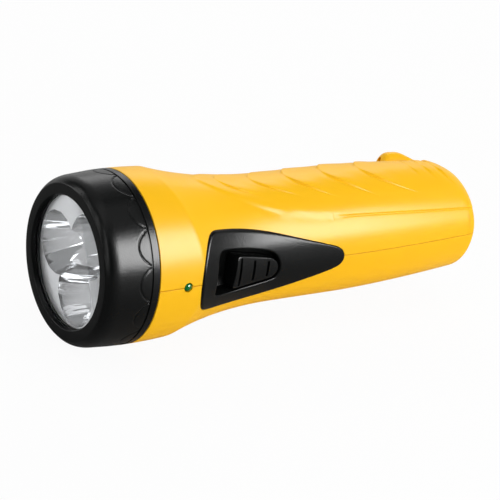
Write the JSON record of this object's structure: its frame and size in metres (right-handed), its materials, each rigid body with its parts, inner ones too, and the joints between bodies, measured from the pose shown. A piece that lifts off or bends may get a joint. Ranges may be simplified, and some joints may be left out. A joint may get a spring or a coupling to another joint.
{
  "type": "led flashlight",
  "caption": "Rechargeable plastic hand torch with a screwed bezel, cupped reflector, thumb slide switch, two-part shell and a charging socket in the tail.",
  "frame": {"origin": "under the middle of the torch's length, level with the lowest point of the bezel", "axes": "+X from the lens to the tail, -Y to the side with the thumb switch, +Z to the ribbed crest of the grip"},
  "size_m": [0.152, 0.0565, 0.0563],
  "materials": {
    "body_yellow": "satin moulded ABS",
    "bezel_black": "fine-grained satin black ABS",
    "switch_black": "fine-grained satin black ABS",
    "lens_clear": "clear moulded plastic",
    "gasket_rubber": "soft black rubber",
    "reflector_chrome": "vacuum-metallised plastic",
    "lamp_clear": "clear cast resin",
    "indicator_green": "tinted cast resin",
    "circuit_board": "lacquered laminate",
    "inner_plastic": "plain black moulding",
    "plain_steel": "zinc plated",
    "tinned_metal": "tinned",
    "battery_case": "plain grey case",
    "film_brown": "dipped epoxy",
    "wire_red": "PVC insulation",
    "wire_black": "PVC insulation",
    "wire_brown": "PVC insulation"
  },
  "bodies": {
    "torch_body": {"upper_shell": "body_yellow", "lower_shell": "body_yellow", "reflector": "reflector_chrome", "led_1": "lamp_clear", "led_2": "lamp_clear", "led_3": "lamp_clear", "led_board": "circuit_board", "indicator_led": "indicator_green", "switch_panel": "switch_black", "slide_switch": "plain_steel", "charging_board": "circuit_board", "battery": "battery_case", "charging_inlet": "inner_plastic", "dropper_capacitor": "film_brown", "filter_capacitor": "battery_case", "diode_1": "inner_plastic", "diode_2": "inner_plastic", "diode_3": "inner_plastic", "diode_4": "inner_plastic", "resistor": "film_brown", "battery_tab_positive": "tinned_metal", "battery_tab_negative": "tinned_metal", "inlet_pin_near": "tinned_metal", "inlet_pin_far": "tinned_metal", "shell_screw_1": "plain_steel", "shell_screw_2": "plain_steel", "shell_screw_3": "plain_steel", "indicator_lead_upper": "tinned_metal", "indicator_lead_lower": "tinned_metal", "lamp_lead_positive": "wire_red", "lamp_lead_negative": "wire_black", "battery_lead_positive": "wire_red", "battery_lead_negative": "wire_black", "inlet_lead_near": "wire_brown", "inlet_lead_far": "wire_brown"},
    "lens_set": {"lens": "lens_clear", "lens_gasket": "gasket_rubber"},
    "bezel": {"bezel_ring": "bezel_black"},
    "switch": {"switch_button": "switch_black", "switch_lever": "inner_plastic"}
  },
  "joints": [
    {"name": "lens_lift", "type": "slide", "parent": "torch_body", "child": "lens_set", "axis": [-1, 0, 0], "range_m": [0, 0.006]},
    {"name": "bezel_turn", "type": "hinge", "parent": "lens_set", "child": "bezel", "pos_m": [-0.076, 0, 0.02815], "axis": [-1, 0, 0], "range_deg": [0, 720]},
    {"name": "switch_slide", "type": "slide", "parent": "torch_body", "child": "switch", "axis": [-1, 0, 0], "range_m": [0, 0.0045]}
  ],
  "couplings": [
    {"joint": "lens_lift", "follows": "bezel_turn", "m_per_rad": 0.00047746}
  ]
}
